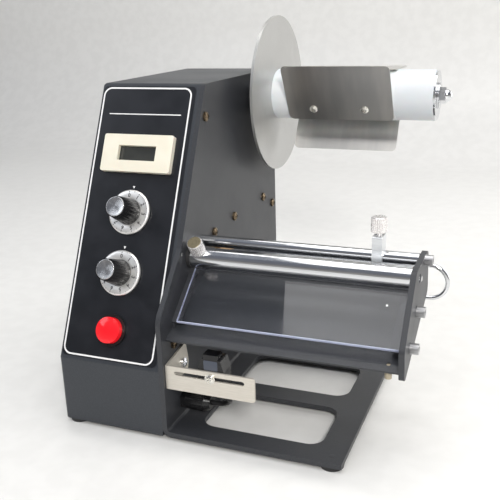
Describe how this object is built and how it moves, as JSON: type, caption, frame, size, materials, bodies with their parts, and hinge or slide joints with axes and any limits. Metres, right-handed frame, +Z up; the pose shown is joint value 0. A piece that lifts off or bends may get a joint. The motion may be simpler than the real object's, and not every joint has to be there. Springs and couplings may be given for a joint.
{
  "type": "label dispenser machine",
  "caption": "Desk label dispenser: sloping case with knobs, counter and red button, spring-leaf label spool, clear peel plate, guide bars, liner take-up and sensor on a slotted bracket.",
  "frame": {"origin": "under the middle of the whole machine, on the surface that it stands on", "axes": "+X across the web from the control case to the outer plate, +Y from the peel edge to the back, +Z up"},
  "size_m": [0.2464, 0.2524, 0.2671],
  "materials": {
    "plate_paint": "fine textured satin powder coat",
    "case_paint": "fine textured satin powder coat",
    "panel_black": "smooth satin film",
    "ivory": "semi-gloss moulded",
    "black_plastic": "moulded satin",
    "window_pane": "dark clear pane",
    "zinc": "zinc plated",
    "black_steel": "blackened",
    "motor_steel": "machined",
    "chrome": "polished chrome",
    "rubber": "matte",
    "clear_acrylic": "clear with bright edges",
    "bearing_bronze": "sintered",
    "felt": "felt",
    "board_green": "solder mask",
    "cable_sheath": "satin sheath",
    "white_nylon": "turned nylon",
    "satin_aluminium": "satin anodised",
    "spun_aluminium": "radially brushed",
    "spring_steel": "rolled spring steel",
    "red_cap": "translucent glossy",
    "nickel": "nickel plated"
  },
  "bodies": {
    "frame": {"frame_plate": "plate_paint", "case_cover": "case_paint", "case_floor": "case_paint", "outer_plate": "plate_paint", "panel_film": "panel_black", "counter_bezel": "ivory", "counter_body": "black_plastic", "counter_window": "window_pane", "length_control": "zinc", "speed_control": "zinc", "button_bezel": "black_plastic", "side_screws": "zinc", "inner_screws": "black_steel", "outer_screws": "chrome", "standoffs": "zinc", "drive_plate": "zinc", "gear_motor": "motor_steel", "guide_rod": "chrome", "front_bar": "chrome", "bar_ring": "rubber", "tray": "plate_paint", "tray_pin": "zinc", "peel_plate": "clear_acrylic", "rewind_bearing": "bearing_bronze", "spool_shaft": "motor_steel", "spool_boss": "motor_steel", "brake_felt": "felt", "end_washer": "chrome", "end_nut": "chrome", "control_board": "board_green", "board_posts": "zinc", "power_inlet": "black_plastic", "feet": "rubber", "cable_gland": "black_plastic", "sensor_cable": "cable_sheath", "pivot_screw": "chrome"},
    "spool": {"spool_core": "white_nylon", "spool_disc": "satin_aluminium", "spool_end": "chrome", "leaf_1": "spring_steel", "leaf_2": "spring_steel", "leaf_3": "spring_steel", "leaf_screws": "zinc"},
    "take_up": {"rewind_shaft": "chrome", "rewind_gear": "white_nylon"},
    "motor_output": {"motor_pinion": "motor_steel"},
    "clip": {"liner_clip": "chrome"},
    "guide": {"label_guide": "satin_aluminium"},
    "guide_lock": {"guide_screw": "chrome"},
    "bar_lock": {"lock_screw": "chrome"},
    "length_control_knob": {"length_knob": "black_plastic", "length_dial": "satin_aluminium", "length_cap": "spun_aluminium"},
    "speed_control_knob": {"speed_knob": "black_plastic", "speed_dial": "satin_aluminium", "speed_cap": "spun_aluminium"},
    "power_switch_cap": {"power_button": "red_cap"},
    "bracket": {"sensor_bracket": "nickel"},
    "sensor": {"label_sensor": "black_plastic", "sensor_screw": "zinc"}
  },
  "joints": [
    {"name": "spool_spin", "type": "hinge", "parent": "frame", "child": "spool", "pos_m": [0.0332, 0.06625, 0.2071], "axis": [1, 0, 0], "continuous": true},
    {"name": "take_up_spin", "type": "hinge", "parent": "frame", "child": "take_up", "pos_m": [0.0332, -0.02825, 0.0945], "axis": [1, 0, 0], "continuous": true},
    {"name": "motor_spin", "type": "hinge", "parent": "frame", "child": "motor_output", "pos_m": [-0.0588, -0.00125, 0.0945], "axis": [1, 0, 0], "continuous": true},
    {"name": "clip_slide", "type": "slide", "parent": "take_up", "child": "clip", "axis": [1, 0, 0], "range_m": [0, 0.14]},
    {"name": "guide_slide", "type": "slide", "parent": "frame", "child": "guide", "axis": [1, 0, 0], "range_m": [-0.118, 0.022]},
    {"name": "guide_screw_turn", "type": "hinge", "parent": "guide", "child": "guide_lock", "pos_m": [0.0814, -0.05925, 0.1405], "axis": [0, 0, 1], "range_deg": [0, 360]},
    {"name": "lock_screw_turn", "type": "hinge", "parent": "frame", "child": "bar_lock", "pos_m": [-0.0346, -0.07775, 0.114], "axis": [0, -0.6018, 0.7986], "range_deg": [0, 360]},
    {"name": "length_turn", "type": "hinge", "parent": "frame", "child": "length_control_knob", "pos_m": [-0.0848, -0.08122, 0.14247], "axis": [0, -0.9, 0.4359], "range_deg": [-150, 150]},
    {"name": "speed_turn", "type": "hinge", "parent": "frame", "child": "speed_control_knob", "pos_m": [-0.0848, -0.09944, 0.10485], "axis": [0, -0.9, 0.4359], "range_deg": [-150, 150]},
    {"name": "power_press", "type": "slide", "parent": "frame", "child": "power_switch_cap", "axis": [0, 0.9, -0.4359], "range_m": [0, 0.003], "stiffness_N_per_m": 400, "springref_m": -0.002},
    {"name": "bracket_tilt", "type": "hinge", "parent": "frame", "child": "bracket", "pos_m": [-0.0418, -0.10095, 0.0461], "axis": [1, 0, 0], "range_deg": [-8, 12], "deforming": ["sensor_cable"]},
    {"name": "sensor_slide", "type": "slide", "parent": "bracket", "child": "sensor", "axis": [1, 0, 0], "range_m": [-0.018, 0.022], "deforming": ["sensor_cable"]}
  ],
  "couplings": [
    {"joint": "motor_spin", "follows": "take_up_spin", "ratio": -2}
  ]
}
